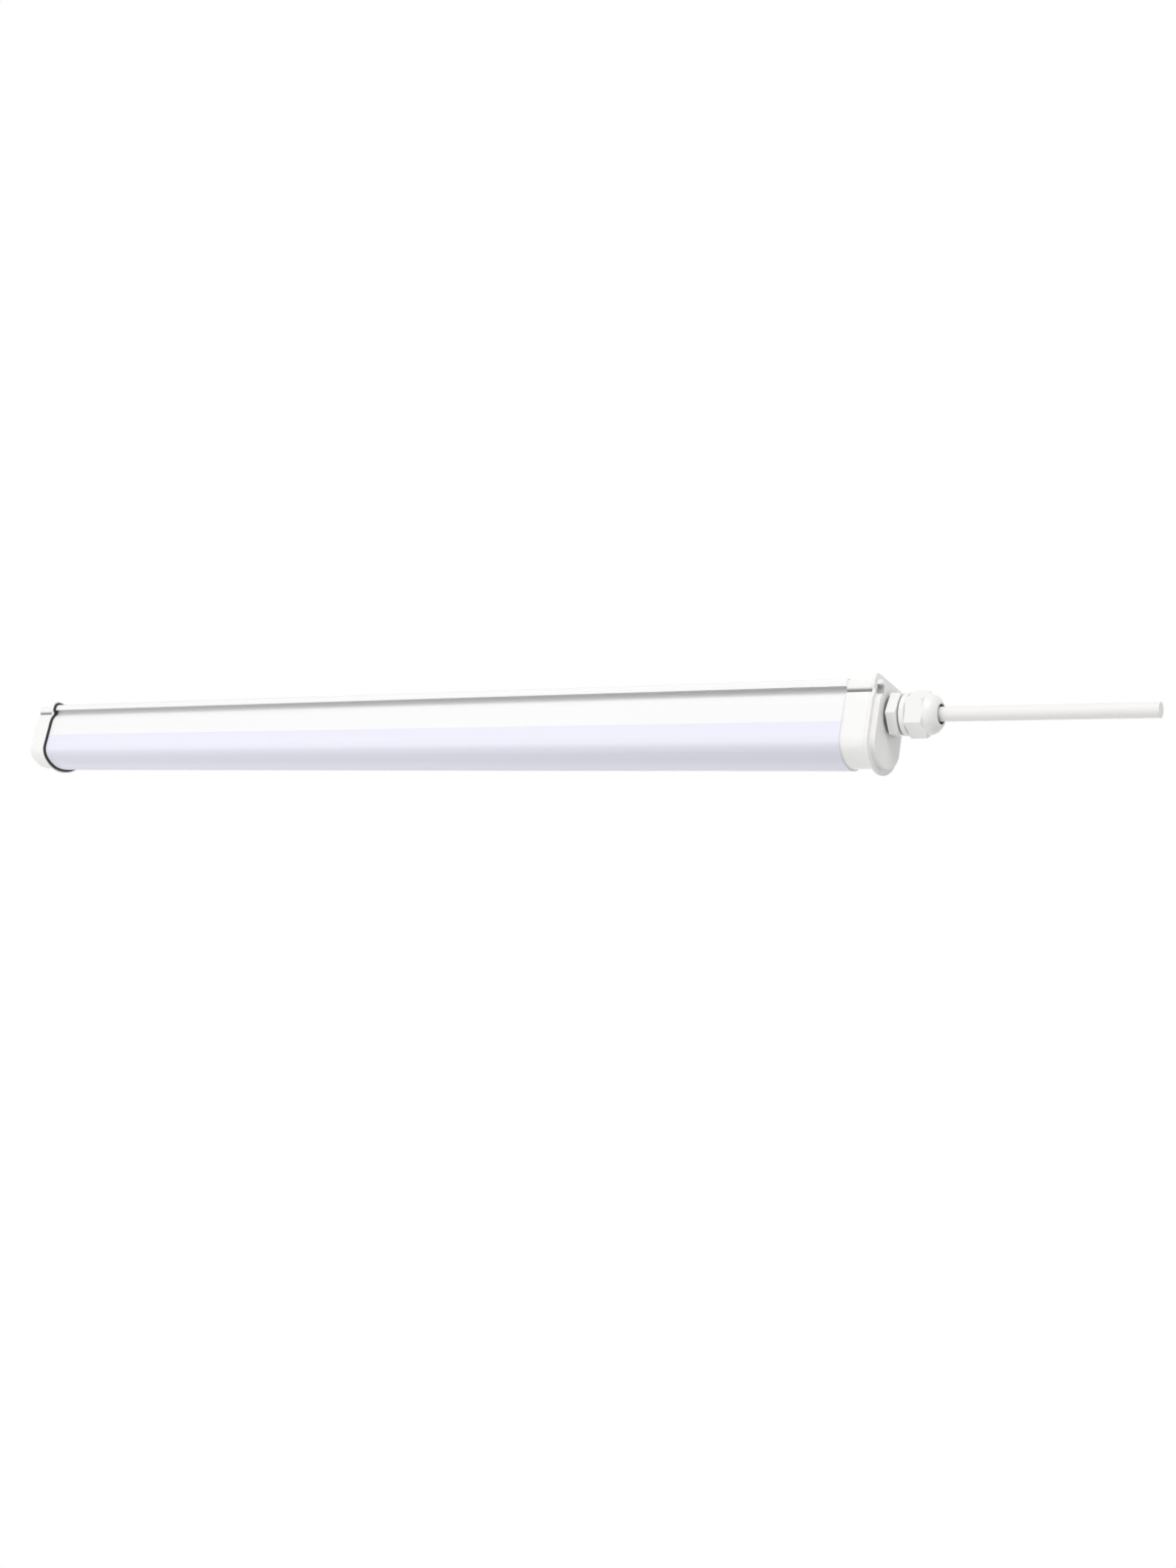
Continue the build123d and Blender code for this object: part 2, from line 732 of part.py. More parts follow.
# Body: threaded stems at both ends of a hexagon and a round collar, bored for the seal and the cable
with BuildPart() as gland_body:
    with BuildSketch(gland_face.offset(washer_thickness)):
        RegularPolygon(hex_flats / 2, 6, major_radius=False, rotation=hex_turn)
    extrude(amount=hex_length)
    fillet(gland_body.edges().filter_by(Axis.X), hex_round)
    with BuildSketch(gland_section):
        with BuildLine():
            Polyline(
                (washer_thickness, 0),
                (washer_thickness, hex_corner),
                (hex_end - hex_chamfer, hex_corner),
                (hex_end, hex_flats / 2),
                (hex_end, 0),
                close=True,
            )
        make_face()
    revolve(axis=gland_axis, mode=Mode.INTERSECT)
    with BuildSketch(gland_section) as body_section:
        with BuildLine():
            Polyline(
                (-stem_length, 0),
                (-stem_length, stem_radius),
                (hex_end, stem_radius),
                (hex_end, neck_groove_radius),
                (collar_start, neck_groove_radius),
                (collar_start, collar_radius),
                (collar_end, collar_radius),
                (collar_end, thread_radius),
                (thread_end, thread_radius),
                (thread_end, 0),
                close=True,
            )
        make_face()
        fillet(body_section.vertices().group_by(Axis.Y)[-1], collar_round)
    revolve(axis=gland_axis)
    with BuildSketch(gland_face.offset(thread_end)):
        Circle(gland_bore)
    extrude(amount=-gland_bore_depth, mode=Mode.SUBTRACT)
    with BuildSketch(gland_face.offset(thread_end)):
        Circle(cable_hole)
    extrude(amount=-thread_end - stem_length, mode=Mode.SUBTRACT)
save(gland_body, "gland_body")

# Seal: a rubber sleeve inside the claw, with a thinner lip that shows in the nut's mouth
with BuildPart() as gland_seal:
    with BuildSketch(gland_section):
        with BuildLine():
            Polyline(
                (bore_floor, cable_radius + snug_gap),
                (bore_floor, seal_radius),
                (claw_end, seal_radius),
                (claw_end, seal_lip_radius),
                (seal_end, seal_lip_radius),
                (seal_end, cable_radius + snug_gap),
                close=True,
            )
        make_face()
    revolve(axis=gland_axis)
save(gland_seal, "gland_seal")

# Claw: a cage that slides in the body's bore, with tapered fingers between slots
with BuildPart() as gland_claw:
    with BuildSketch(gland_section):
        with BuildLine():
            Polyline(
                (claw_start, claw_bore),
                (claw_start, claw_radius),
                (lip_start, claw_radius),
                (lip_start, claw_lip_radius),
                (lip_end, claw_lip_radius),
                (claw_end, claw_tip_radius),
                (claw_end, claw_bore),
                close=True,
            )
        make_face()
    revolve(axis=gland_axis)
    with BuildSketch(gland_face.offset(claw_end)):
        with PolarLocations(claw_lip_radius, claw_slot_count):
            Rectangle(2 * (claw_lip_radius - seal_radius), claw_slot)
    extrude(amount=-claw_finger_length, mode=Mode.SUBTRACT)
save(gland_claw, "gland_claw")

# Nut: a chamfered hexagon that runs into a dome, hollowed for the thread and the claw, open at the mouth for the cable
with BuildPart() as gland_nut:
    with BuildSketch(gland_section):
        with BuildLine():
            Polyline(
                (nut_end, nut_tip_radius),
                (nut_end, 0),
                (nut_start, 0),
                (nut_start, nut_corner),
                (nut_hex_end - nut_chamfer, nut_corner),
                (nut_hex_end, nut_flats / 2),
            )
            SagittaArc((nut_hex_end, nut_flats / 2), (nut_end, nut_tip_radius), nut_bulge)
        make_face()
    revolve(axis=gland_axis)
    with BuildSketch(gland_face.offset(nut_start)):
        RegularPolygon(nut_flats / 2, 6, major_radius=False, rotation=nut_turn)
    extrude(amount=nut_end - nut_start, mode=Mode.INTERSECT)
    with BuildSketch(gland_section):
        with BuildLine():
            Polyline(
                (nut_start, 0),
                (nut_start, nut_bore),
                (lip_end, nut_bore),
                (claw_end + running_gap, claw_tip_radius + running_gap),
                (claw_end + running_gap, nut_mouth),
                (nut_end - nut_mouth_chamfer, nut_mouth),
                (nut_end, nut_mouth + nut_mouth_chamfer),
                (nut_end, 0),
                close=True,
            )
        make_face()
    revolve(axis=gland_axis, mode=Mode.SUBTRACT)
save(gland_nut, "gland_nut")

# Cable: the tail inside the gland and the cap, and the free stretch outside the seal
with BuildPart() as cable_end:
    with BuildSketch(gland_face.offset(-cable_tail_length)):
        Circle(cable_radius)
    extrude(amount=cable_tail_length + seal_end)
save(cable_end, "cable_tail")

with BuildPart() as supply_cable:
    with BuildSketch(gland_face.offset(seal_end)):
        Circle(cable_radius)
    extrude(amount=cable_reach - seal_end)
save(supply_cable, "supply_cable")
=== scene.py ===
"""Dresses a slim vapor tight light: finishes, the gland's thread, the cable and a plain stage."""

import math

import bpy
from bpy.props import FloatProperty, FloatVectorProperty, IntProperty, PointerProperty
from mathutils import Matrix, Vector


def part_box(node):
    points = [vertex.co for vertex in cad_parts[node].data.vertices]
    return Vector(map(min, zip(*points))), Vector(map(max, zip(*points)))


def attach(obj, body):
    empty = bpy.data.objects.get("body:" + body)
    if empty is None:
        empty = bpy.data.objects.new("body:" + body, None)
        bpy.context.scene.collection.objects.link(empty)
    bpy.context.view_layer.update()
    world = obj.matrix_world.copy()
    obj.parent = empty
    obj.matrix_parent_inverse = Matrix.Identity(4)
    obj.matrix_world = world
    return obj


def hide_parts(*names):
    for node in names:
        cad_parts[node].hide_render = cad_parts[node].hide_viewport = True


bl_info = {
    "name": "Vapor Tight Light",
    "version": (1, 0, 0),
    "blender": (4, 5, 0),
    "location": "View3D > Sidebar > Light",
    "description": "Finishes, gland thread, cable and stage for a slim vapor tight light",
    "category": "Object",
}

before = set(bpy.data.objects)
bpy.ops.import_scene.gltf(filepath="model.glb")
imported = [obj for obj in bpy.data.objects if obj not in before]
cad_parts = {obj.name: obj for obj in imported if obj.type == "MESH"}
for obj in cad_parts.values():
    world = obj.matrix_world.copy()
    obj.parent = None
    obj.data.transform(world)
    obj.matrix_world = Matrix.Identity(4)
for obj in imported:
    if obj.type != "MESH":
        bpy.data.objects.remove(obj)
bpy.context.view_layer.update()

stub_low, stub_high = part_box("supply_cable")
stem_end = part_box("gland_body")[1].x
washer_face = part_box("gland_gasket")[1].x
boss_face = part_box("cable_end_cap")[1].x
nut_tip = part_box("gland_nut")[1].x
first_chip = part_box("led_chips")[0].x
cable_axis = (stub_low + stub_high) / 2
cable_diameter = stub_high.z - stub_low.z

# What a place of painted shade, or the cable's filling, takes in beyond the face that it ends at,
# in metres like every size below
face_slack = 0.00005

# The groove under the rail: its heights, its half width, and where its painted shade is full and
# fades out
groove_roof = -0.0043
groove_floor = -0.0068
groove_half = 0.0122
groove_full = groove_floor + 0.001
groove_end = groove_floor - 0.0018

# The crease that carries the groove on round the caps: where its painted shade starts and is full,
# its foot and its half width
crease_start = -0.0045
crease_end = -0.0062
crease_foot = -0.0067
crease_half = 0.0138

# The notches that the groove leaves in the boss, their share of the crease's painted shade, and the
# boss's depth
notch_top = groove_roof + 0.0012
notch_roof = groove_roof + 0.0004
notch_end = groove_floor - 0.0014
notch_half = groove_half - 0.0012
notch_share = 0.62
boss_depth = 0.0038

# Heights between which the diffuser's sides turn into its bottom and painted shade comes in, and
# half widths that fade the painted shade out
corner_start = -0.0303
corner_end = -0.0333
corner_fade = 0.003
corner_half = 0.0095

# The groove between the gland's hexagon and its collar, which gets painted shade, measured from the
# washer
neck_start = 0.00485
neck_end = 0.0057
neck_radius = 0.0096

# The chamfered mouth that the cable leaves the nut by, which gets painted shade
mouth_length = 0.001
mouth_radius = 0.00472

# The light packages along their board, with their pools of gel
chip_pitch = 0.01
chip_length = 0.0035
pool_radius = 0.0011

# Copper tracks on the boards: the driver's pitch, half the gap between two, and their outer edge
driver_pitch = 0.0075
half_gap = 0.0003
track_edge = 0.0045

# The filling's share of the cable's width, and the cable's points as shares of its length
filling_share = 0.38
route_shares = (0.0, 0.3, 0.7, 1.0)

# Steps in a turn of the thread, and sides of its ridge
turn_steps = 48
ridge_sides = 8

# Frequencies of the finishes' patterns along X, Y and Z, per metre
die_lines = (4.0, 1400.0, 1400.0)
tone_drift = (9.0, 30.0, 30.0)
frost_grain = (2600.0, 2600.0, 2600.0)
mould_flow = (60.0, 90.0, 90.0)
rubber_grain = (1800.0, 1800.0, 1800.0)
rubber_bloom = (160.0, 160.0, 160.0)
rolling_lines = (12.0, 2200.0, 2200.0)
turning_lines = (900.0, 900.0, 900.0)
metal_stain = (70.0, 70.0, 70.0)
board_weave = (1500.0, 1500.0, 1500.0)
gel_grit = (6000.0, 6000.0, 6000.0)
drag_lines = (14.0, 2400.0, 2400.0)
sheath_drift = (40.0, 120.0, 120.0)

# Each lamp's width, where it hangs and what it points at
lamps = {
    "key": (1.2, (0.9, -1.5, 1.35), (0.1, 0.0, 0.0)),
    "under": (0.8, (-0.5, -0.8, -0.75), (0.1, 0.0, 0.0)),
    "fill": (0.8, (-0.8, -1.3, 0.2), (-0.3, 0.0, 0.0)),
    "back": (1.4, (-0.3, 1.9, 0.35), (0.0, 0.0, 0.0)),
}

white = (1.0, 1.0, 1.0, 1.0)
full_frame = 36.0
near_clip = 0.01


class Value:
    """One output of a node tree, with arithmetic that adds Math nodes."""

    def __init__(self, nodes, socket):
        self.nodes = nodes
        self.socket = socket

    def math(self, operation, first, second=0.0):
        return self.nodes.add("ShaderNodeMath", {"operation": operation}, {0: first, 1: second})

    def __add__(self, other):
        return self.math("ADD", self, other)

    __radd__ = __add__

    def __sub__(self, other):
        return self.math("SUBTRACT", self, other)

    def __rsub__(self, other):
        return self.math("SUBTRACT", other, self)

    def __mul__(self, other):
        return self.math("MULTIPLY", self, other)

    __rmul__ = __mul__

    def __truediv__(self, other):
        return self.math("DIVIDE", self, other)

    def __abs__(self):
        return self.math("ABSOLUTE", self)

    def __lt__(self, other):
        return self.math("LESS_THAN", self, other)

    def __gt__(self, other):
        return self.math("GREATER_THAN", self, other)

    def __mod__(self, other):
        return self.math("FLOORED_MODULO", self, other)


class Nodes:
    """A node tree that is written as expressions."""

    def __init__(self, tree):
        self.tree = tree
        tree.nodes.clear()

    def add(self, kind, settings=None, sockets=None, output=0):
        """Adds a node, sets it up, fills or links its sockets and returns one of its outputs."""
        node = self.tree.nodes.new(kind)
        for name, setting in (settings or {}).items():
            setattr(node, name, setting)
        for name, value in (sockets or {}).items():
            if isinstance(value, Value):
                self.tree.links.new(value.socket, node.inputs[name])
            else:
                node.inputs[name].default_value = value
        return Value(self, node.outputs[output]) if node.outputs else None

    def split(self, kind, names, sockets=None):
        """Adds a node and returns those of its outputs that are named."""
        outputs = self.add(kind, sockets=sockets).socket.node.outputs
        return [Value(self, outputs[name]) for name in names]

    def place(self):
        """The point on the piece, in metres."""
        return self.add("ShaderNodeTexCoord", output="Object")

    def axes(self):
        """The point on the piece as three values."""
        return self.split("ShaderNodeSeparateXYZ", "XYZ", {"Vector": self.place()})

    def grain(self, stretch, detail=2.0):
        """Noise from 0 to 1, with a frequency per metre along each axis."""
        stretched = self.add(
            "ShaderNodeVectorMath", {"operation": "MULTIPLY"}, {0: self.place(), 1: stretch}
        )
        return self.add(
            "ShaderNodeTexNoise", sockets={"Vector": stretched, "Scale": 1.0, "Detail": detail}
        )

    def ramp(self, value, start, end):
        """Rises smoothly from 0 at the start to 1 at the end."""
        return self.add(
            "ShaderNodeMapRange",
            {"interpolation_type": "SMOOTHSTEP"},
            {"Value": value, "From Min": start, "From Max": end},
        )

    def blend(self, factor, low, high):
        """A colour between two others."""
        sockets = {0: factor, 6: low, 7: high}
        return self.add("ShaderNodeMix", {"data_type": "RGBA"}, sockets, output=2)

    def seen(self):
        """1 on what the camera, a reflection or a clear piece looks at, and 0 elsewhere."""
        camera, glossy, clear = self.split(
            "ShaderNodeLightPath", ("Is Camera Ray", "Is Glossy Ray", "Is Transmission Ray")
        )
        return self.add("ShaderNodeClamp", sockets={"Value": camera + glossy + clear})


def rgba(colour, share=1.0):
    """A colour for a socket, darkened or lightened to a share."""
    return (*(share * part for part in colour), 1.0)


def new_finish(name):
    """An empty material's node tree."""
    material = bpy.data.materials.new(name)
    material.use_nodes = True
    return Nodes(material.node_tree)


def surface(name, shade, roughness, height, relief, metallic=0.0):
    """Finishes a material whose height, from 0 to 1, is raised by a relief in metres."""
    nodes = shade.nodes
    bump = nodes.add(
        "ShaderNodeBump", sockets={"Height": height, "Distance": relief, "Strength": 1.0}
    )
    shader = nodes.add(
        "ShaderNodeBsdfPrincipled",
        sockets={
            "Base Color": shade,
            "Roughness": roughness,
            "Normal": bump,
            "Metallic": metallic,
        },
    )
    nodes.add("ShaderNodeOutputMaterial", sockets={"Surface": shader})
    return bpy.data.materials[name]


def off_axis(y, z):
    """The square of the distance from the gland's axis."""
    drop = z - cable_axis.z
    return y * y + drop * drop


def rail_groove(nodes):
    """Where painted shade goes: 1 in the depth of the housing's grooves, fading out down the
    shoulders.
    """
    _, y, z = nodes.axes()
    under_rail = (abs(y) > groove_half) * (z < groove_roof + face_slack)
    return under_rail * nodes.ramp(z, groove_end, groove_full)


def cap_crease(nodes):
    """Where painted shade goes: 1 in the creases of the caps' bodies, which deepen downwards, less
    in the boss's notches.
    """
    x, y, z = nodes.axes()
    across = abs(y)
    inside = (across < crease_half + face_slack) * (across > notch_half)
    crease = nodes.ramp(z, crease_start, crease_end) * (z > crease_foot)
    notch = nodes.ramp(z, notch_top, notch_roof) * nodes.ramp(z, notch_end, groove_floor)
    at_boss = x > boss_face - boss_depth
    return inside * (crease + at_boss * (notch_share * notch - crease))


def neck_recess(nodes):
    """Where painted shade goes: 1 in the narrow groove between the gland's hexagon and its collar.
    """
    x, y, z = nodes.axes()
    groove = (x > washer_face + neck_start) * (x < washer_face + neck_end)
    return groove * (off_axis(y, z) < neck_radius**2)


def mouth_recess(nodes):
    """Where painted shade goes: 1 in the nut's mouth, where the seal's lip sits."""
    x, y, z = nodes.axes()
    return (x > nut_tip - mouth_length) * (off_axis(y, z) < mouth_radius**2)


def shaded_corners(nodes):
    """Where painted shade goes: 1 round the diffuser's lower corners, fading out both ways."""
    _, y, z = nodes.axes()
    return nodes.ramp(z, corner_start, corner_end) * nodes.ramp(abs(y), corner_fade, corner_half)


def extruded(name, colour, gloss=0.34, frost=0.0, hollow=None, depth=0.0):
    """Extruded plastic: faint die lines, a slow drift in tone and, if frosted, a fine grain.

    A hollow gives the places darkened with painted shade, and depth the share of colour they lose
    to it.
    """
    nodes = new_finish(name)
    lines = nodes.grain(die_lines, detail=3.0)
    drift = nodes.grain(tone_drift)
    grain = nodes.grain(frost_grain, detail=1.0)
    shade = nodes.blend(0.35 * lines + 0.65 * drift, rgba(colour, share=0.972), rgba(colour))
    roughness = gloss + 0.1 * lines + frost * grain
    if hollow:
        shade = nodes.blend(hollow(nodes), shade, rgba(colour, share=1.0 - depth))
    height = 0.5 * lines + (0.2 + frost) * grain
    return surface(name, shade, roughness, height, relief=0.000012)


def moulded(name, colour, gloss=0.38, pebble=900.0, relief=0.00002, hollow=None, depth=0.0):
    """Moulded plastic: a fine spark-eroded texture and a slow drift in tone, and painted shade in a
    hollow.
    """
    nodes = new_finish(name)
    fine = nodes.grain((pebble, pebble, pebble))
    flow = nodes.grain(mould_flow, detail=3.0)
    shade = nodes.blend(0.3 * fine + 0.7 * flow, rgba(colour, share=0.965), rgba(colour))
    if hollow:
        shade = nodes.blend(hollow(nodes), shade, rgba(colour, share=1.0 - depth))
    return surface(name, shade, gloss + 0.12 * fine, fine, relief)


def rubber(name, colour):
    """Dull rubber with a dusty bloom."""
    nodes = new_finish(name)
    fine = nodes.grain(rubber_grain, detail=3.0)
    bloom = nodes.grain(rubber_bloom)
    shade = nodes.blend(bloom * fine, rgba(colour, share=0.7), rgba(colour, share=1.5))
    return surface(name, shade, 0.62 + 0.25 * fine, fine, relief=0.00003)


def worked_metal(name, colour, gloss, run):
    """Metal with the lines of its rolling or turning, and faint stains."""
    nodes = new_finish(name)
    lines = nodes.grain(run, detail=3.0)
    stain = nodes.grain(metal_stain)
    shade = nodes.blend(0.5 * lines + 0.5 * stain, rgba(colour, share=0.88), rgba(colour))
    return surface(name, shade, gloss + 0.2 * lines, lines, relief=0.00001, metallic=1.0)


def circuit_board(name, coating, copper, pitch):
    """A coated board with wide copper tracks under the coating and narrow gaps between them.

    Copper is the tracks' share of the coating's brightness.
    """
    nodes = new_finish(name)
    x, y, _ = nodes.axes()
    gap = abs((x % pitch) - pitch / 2) < half_gap
    edge = abs(abs(y) - track_edge) < half_gap
    weave = nodes.grain(board_weave)
    track = (1.0 - gap) * (1.0 - edge)
    tracks = nodes.blend(track, rgba(coating, share=0.9), rgba(coating, share=copper))
    shade = nodes.blend(0.25 * weave, tracks, rgba(coating))
    height = 0.6 * track + 0.2 * weave
    return surface(name, shade, 0.4 + 0.15 * weave, height, relief=0.00003)


def light_package(name, colour, phosphor):
    """A pale package with a round pool of phosphor gel in the middle of each chip."""
    nodes = new_finish(name)
    x, y, _ = nodes.axes()
    row_start = first_chip + (chip_length - chip_pitch) / 2
    along = ((x - row_start) % chip_pitch) - chip_pitch / 2
    pool = (along * along + y * y) < pool_radius**2
    grit = nodes.grain(gel_grit)
    gel = nodes.blend(grit, rgba(phosphor, share=0.85), rgba(phosphor))
    shade = nodes.blend(pool, rgba(colour), gel)
    return surface(name, shade, 0.45 - 0.2 * pool, grit, relief=0.00001)


def cable_sheath(name, colour, cut):
    """An extruded sheath with faint drag lines, and its filling at the cut end."""
    nodes = new_finish(name)
    x, y, z = nodes.axes()
    lines = nodes.grain(drag_lines, detail=3.0)
    drift = nodes.grain(sheath_drift)
    skin = nodes.blend(0.5 * lines + 0.5 * drift, rgba(colour, share=0.98), rgba(colour))
    at_end = x > stub_high.x - face_slack
    filling = at_end * (off_axis(y, z) < (filling_share * cable_diameter) ** 2)
    shade = nodes.blend(filling, skin, rgba(cut))
    return surface(name, shade, 0.42 + 0.12 * lines, lines, relief=0.000015)


def wear(material, *names):
    """Gives finished CAD pieces their material."""
    for name in names:
        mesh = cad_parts[name].data
        mesh.materials.clear()
        mesh.materials.append(material)


def paint(name, description, default):
    """A colour that a user may change."""
    return FloatVectorProperty(
        name=name,
        description=description,
        subtype="COLOR",
        size=3,
        min=0.0,
        max=1.0,
        default=default,
    )


def fraction(name, description, default):
    """A share from 0 to 1 that a user may change."""
    return FloatProperty(name=name, description=description, default=default, min=0.0, max=1.0)


def distance(name, description, default):
    """A length in metres that a user may change."""
    return FloatProperty(
        name=name, description=description, default=default, subtype="DISTANCE", unit="LENGTH"
    )


def power(name, description, default):
    """A lamp's power that a user may change."""
    return FloatProperty(
        name=name, description=description, default=default, min=0.0, unit="POWER"
    )


class FixtureColours(bpy.types.PropertyGroup):
    """Colours of the light's pieces, and how much of them painted shade takes away in its hollows
    and corners.
    """

    shell: paint("Housing", "White of the extruded housing", (0.93, 0.93, 0.93))
    diffuser: paint("Diffuser", "Pale lavender of the frosted diffuser", (0.85, 0.85, 0.95))
    cap: paint("End caps", "Warm white of the moulded end caps", (0.93, 0.925, 0.912))
    rubber: paint("Seals", "Black of the seals and gaskets", (0.02, 0.02, 0.021))
    washer: paint("Washer", "Dark grey of the gland's washer", (0.18, 0.18, 0.18))
    gland: paint("Gland", "White of the gland's nylon", (0.92, 0.92, 0.91))
    sheath: paint("Cable", "White of the cable's sheath", (0.9, 0.885, 0.865))
    cut: paint("Cut end", "White of the cable's filling at its cut end", (0.92, 0.915, 0.91))
    aluminium: paint("Tray", "Mill finish of the aluminium tray", (0.8, 0.81, 0.82))
    steel: paint("Screws", "Zinc plated steel of the screws", (0.68, 0.69, 0.71))
    brass: paint("Earth tag", "Plain brass of the earth tag", (0.76, 0.58, 0.29))
    board: paint("Light board", "White coating of the light board", (0.88, 0.88, 0.86))
    package: paint("Packages", "Warm white of the light packages", (0.95, 0.945, 0.92))
    phosphor: paint("Phosphor", "Yellow gel of the light packages", (0.86, 0.68, 0.12))
    driver: paint("Driver", "Pale plastic of the driver's case", (0.8, 0.8, 0.79))
    circuit: paint("Driver board", "Green coating of the driver's board", (0.03, 0.2, 0.07))
    component: paint("Components", "Dark bodies of the driver's components", (0.03, 0.03, 0.034))
    terminal: paint("Terminal", "Natural nylon of the terminal block", (0.82, 0.81, 0.75))
    live: paint("Live", "Brown of the live wire", (0.16, 0.06, 0.025))
    neutral: paint("Neutral", "Blue of the neutral wire", (0.03, 0.12, 0.5))
    earth: paint("Earth", "Green of the earth wire", (0.1, 0.42, 0.06))
    positive: paint("Positive", "Red of the positive lead", (0.5, 0.02, 0.015))
    # Shares of colour that painted shade takes from the groove, the creases, the gland's neck, the
    # diffuser's corners and the nut's mouth
    groove_depth: fraction("Groove", "Share of its colour that the rail's groove loses", 0.37)
    crease_depth: fraction("Crease", "Share of their colour that the caps' creases lose", 0.79)
    neck_depth: fraction("Neck", "Share of its colour that the gland's groove loses", 0.6)
    corner_depth: fraction("Corner", "Share of its colour that the diffuser's corners lose", 0.11)
    mouth_depth: fraction("Mouth", "Share of its colour that the nut's mouth loses", 0.9)


class GlandSizes(bpy.types.PropertyGroup):
    """Sizes of the gland's thread and of the free stretch of cable."""

    thread_radius: distance("Thread radius", "Radius of the stem under the thread", 0.0076)
    thread_pitch: distance("Thread pitch", "Distance from one ridge to the next", 0.0015)
    thread_length: distance("Thread length", "Length of the stem that carries the thread", 0.0046)
    ridge: distance("Ridge", "How far the ridges stand out of the stem", 0.0002)
    cable_sides: IntProperty(
        name="Cable roundness",
        description="Steps in a quarter of the cable's section",
        default=14,
        min=3,
        max=24,
    )


class StageSettings(bpy.types.PropertyGroup):
    """Camera, floor and lamps."""

    camera_place: FloatVectorProperty(
        name="Camera",
        description="Where the camera stands",
        subtype="TRANSLATION",
        unit="LENGTH",
        size=3,
        default=(0.61015, -0.64989, -0.24394),
    )
    camera_turn: FloatVectorProperty(
        name="Camera turn",
        description="How the camera is turned",
        subtype="EULER",
        unit="ROTATION",
        size=3,
        default=(math.radians(103.9719), math.radians(-9.9222), math.radians(33.4769)),
    )
    lens: FloatProperty(
        name="Lens",
        description="Focal length on a full frame sensor, in millimetres",
        default=37.51,
        min=10.0,
    )
    floor_drop: distance("Floor", "How far the floor lies below the light", 1.2)
    floor_width: distance("Floor width", "Width of the floor", 4.0)
    floor_colour: paint("Floor colour", "Pale grey of the floor", (0.9, 0.9, 0.9))
    floor_glow: fraction("Floor glow", "Share of white in the floor as it is seen", 0.94)
    ambient: fraction("Ambient", "Light from all round", 0.5)
    key: power("Key", "Power of the lamp high in front", 24.4)
    under: power("Under", "Power of the lamp low on the left", 3.4)
    fill: power("Fill", "Power of the lamp on the left", 1.6)
    back: power("Back", "Power of the lamp behind", 10.0)


class FIXTURE_OT_shells(bpy.types.Operator):
    """Finishes the housing and the diffuser"""

    bl_idname = "fixture.shells"
    bl_label = "Shells"

    def execute(self, context):
        colours = context.scene.fixture_colours
        # Painted shade darkens the housing's rail grooves
        wear(
            extruded(
                "white_extrusion", colours.shell, hollow=rail_groove, depth=colours.groove_depth
            ),
            "housing",
        )
        # Painted shade darkens the diffuser's lower corners
        wear(
            extruded(
                "frosted_extrusion",
                colours.diffuser,
                gloss=0.4,
                frost=0.14,
                hollow=shaded_corners,
                depth=colours.corner_depth,
            ),
            "diffuser",
        )
        return {"FINISHED"}


class FIXTURE_OT_caps(bpy.types.Operator):
    """Finishes the end caps, their seals and the gland's washer"""

    bl_idname = "fixture.caps"
    bl_label = "End caps and seals"

    def execute(self, context):
        colours = context.scene.fixture_colours
        # Painted shade darkens the caps' creases and the boss's notches
        wear(
            moulded("white_moulding", colours.cap, hollow=cap_crease, depth=colours.crease_depth),
            "cable_end_cap",
            "blind_end_cap",
        )
        wear(
            rubber("black_rubber", colours.rubber),
            "cable_end_seal",
            "blind_end_gasket",
            "gland_seal",
        )
        wear(rubber("grey_rubber", colours.washer), "gland_gasket")
        return {"FINISHED"}


def thread_tree():
    """A round ridge that winds along X, with its sizes as inputs, and the inputs' identifiers."""
    tree = bpy.data.node_groups.new("gland_thread", "GeometryNodeTree")
    kinds = {name: "NodeSocketFloat" for name in ("Radius", "Pitch", "Length", "Ridge")}
    kinds.update({"Start": "NodeSocketVector", "Finish": "NodeSocketMaterial"})
    sockets = {
        name: tree.interface.new_socket(name, in_out="INPUT", socket_type=kind).identifier
        for name, kind in kinds.items()
    }
    tree.interface.new_socket("Thread", in_out="OUTPUT", socket_type="NodeSocketGeometry")

    nodes = Nodes(tree)
    radius, pitch, length, ridge, start, finish = nodes.split("NodeGroupInput", kinds)
    helix = nodes.add(
        "GeometryNodeCurveSpiral",
        sockets={
            "Resolution": turn_steps,
            "Rotations": length / pitch,
            "Start Radius": radius,
            "End Radius": radius,
            "Height": length,
        },
    )
    section = nodes.add(
        "GeometryNodeCurvePrimitiveCircle", sockets={"Resolution": ridge_sides, "Radius": ridge}
    )
    swept = nodes.add(
        "GeometryNodeCurveToMesh",
        sockets={"Curve": helix, "Profile Curve": section, "Fill Caps": True},
    )
    laid = nodes.add(
        "GeometryNodeTransform",
        sockets={"Geometry": swept, "Translation": start, "Rotation": (0.0, math.pi / 2, 0.0)},
    )
    smooth = nodes.add("GeometryNodeSetShadeSmooth", sockets={"Geometry": laid})
    real = nodes.add("GeometryNodeRealizeInstances", sockets={"Geometry": smooth})
    painted = nodes.add("GeometryNodeSetMaterial", sockets={"Geometry": real, "Material": finish})
    nodes.add("NodeGroupOutput", sockets={"Thread": painted})
    return tree, sockets


def bake(name, tree, values):
    """Runs a node tree on an empty mesh and keeps the result as a plain mesh."""
    piece = bpy.data.objects.new(name, bpy.data.meshes.new(name))
    bpy.context.scene.collection.objects.link(piece)
    modifier = piece.modifiers.new(name, "NODES")
    modifier.node_group = tree
    for identifier, value in values.items():
        modifier[identifier] = value
    made = piece.evaluated_get(bpy.context.evaluated_depsgraph_get())
    mesh = bpy.data.meshes.new_from_object(made)
    piece.modifiers.remove(modifier)
    piece.data = mesh
    return piece


